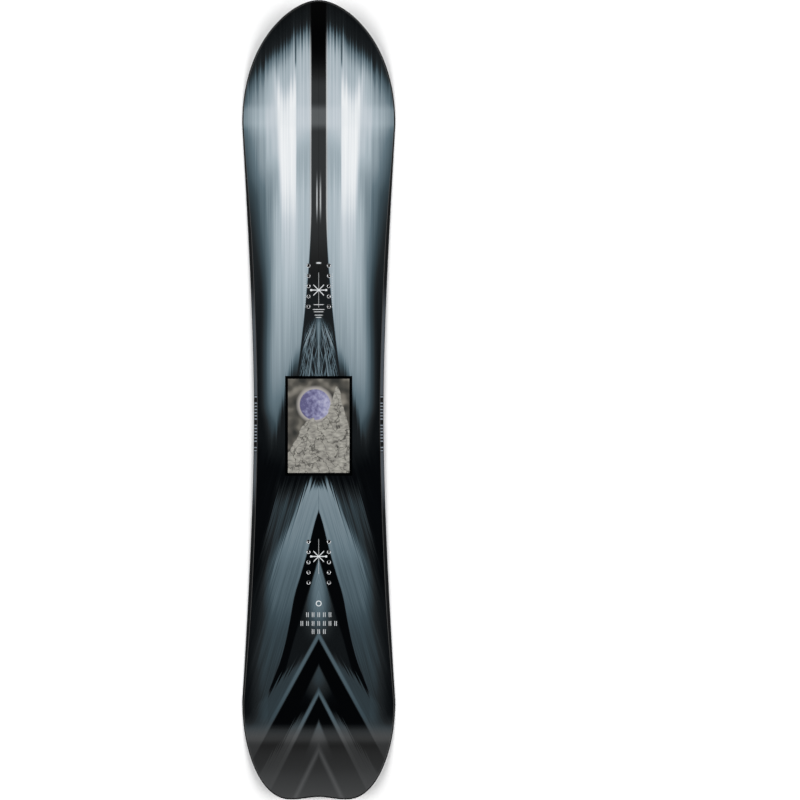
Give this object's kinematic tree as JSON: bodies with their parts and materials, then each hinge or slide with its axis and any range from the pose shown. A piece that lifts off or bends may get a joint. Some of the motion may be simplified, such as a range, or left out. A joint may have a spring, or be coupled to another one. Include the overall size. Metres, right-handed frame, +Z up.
{
  "type": "snowboard",
  "caption": "Directional snowboard without bindings: cambered laminated deck with wood core, steel edges, upturned ends and threaded binding inserts.",
  "frame": {"origin": "on the floor under the middle of the board's length and width, midway between the nose and tail ends", "axes": "+Z up out of the topsheet, +Y along the board towards the nose, +X to the right seen from above with the nose ahead"},
  "size_m": [0.2998, 1.56, 0.0587],
  "materials": {
    "topsheet": "clear glossy film over a printed graphic",
    "base": "waxed polyethylene with a printed graphic",
    "edge_steel": "ground hardened steel",
    "insert_steel": "turned stainless steel",
    "rubber_foil": "matt damping rubber",
    "glass_laminate": "woven glass fibre in cured resin",
    "sidewall": "machined black plastic",
    "tip_spacer": "machined black plastic",
    "poplar": "planed poplar, bare",
    "beech": "planed beech, bare"
  },
  "bodies": {
    "root": {"base_sheet": "base", "edge_left": "edge_steel", "edge_right": "edge_steel", "rubber_foil_left": "rubber_foil", "rubber_foil_right": "rubber_foil", "lower_glass": "glass_laminate", "sidewall_left": "sidewall", "sidewall_right": "sidewall", "nose_spacer": "tip_spacer", "tail_spacer": "tip_spacer", "core_centre": "poplar", "core_beech_left": "beech", "core_beech_right": "beech", "core_poplar_inner_left": "poplar", "core_poplar_inner_right": "poplar", "core_poplar_mid_left": "poplar", "core_poplar_mid_right": "poplar", "core_poplar_outer_left": "poplar", "core_poplar_outer_right": "poplar", "core_rail_left": "beech", "core_rail_right": "beech", "upper_glass": "glass_laminate", "topsheet": "topsheet", "insert_front_left_1": "insert_steel", "insert_front_left_2": "insert_steel", "insert_front_left_3": "insert_steel", "insert_front_left_4": "insert_steel", "insert_front_left_5": "insert_steel", "insert_front_right_1": "insert_steel", "insert_front_right_2": "insert_steel", "insert_front_right_3": "insert_steel", "insert_front_right_4": "insert_steel", "insert_front_right_5": "insert_steel", "insert_rear_left_1": "insert_steel", "insert_rear_left_2": "insert_steel", "insert_rear_left_3": "insert_steel", "insert_rear_left_4": "insert_steel", "insert_rear_left_5": "insert_steel", "insert_rear_right_1": "insert_steel", "insert_rear_right_2": "insert_steel", "insert_rear_right_3": "insert_steel", "insert_rear_right_4": "insert_steel", "insert_rear_right_5": "insert_steel"}
  },
  "joints": []
}
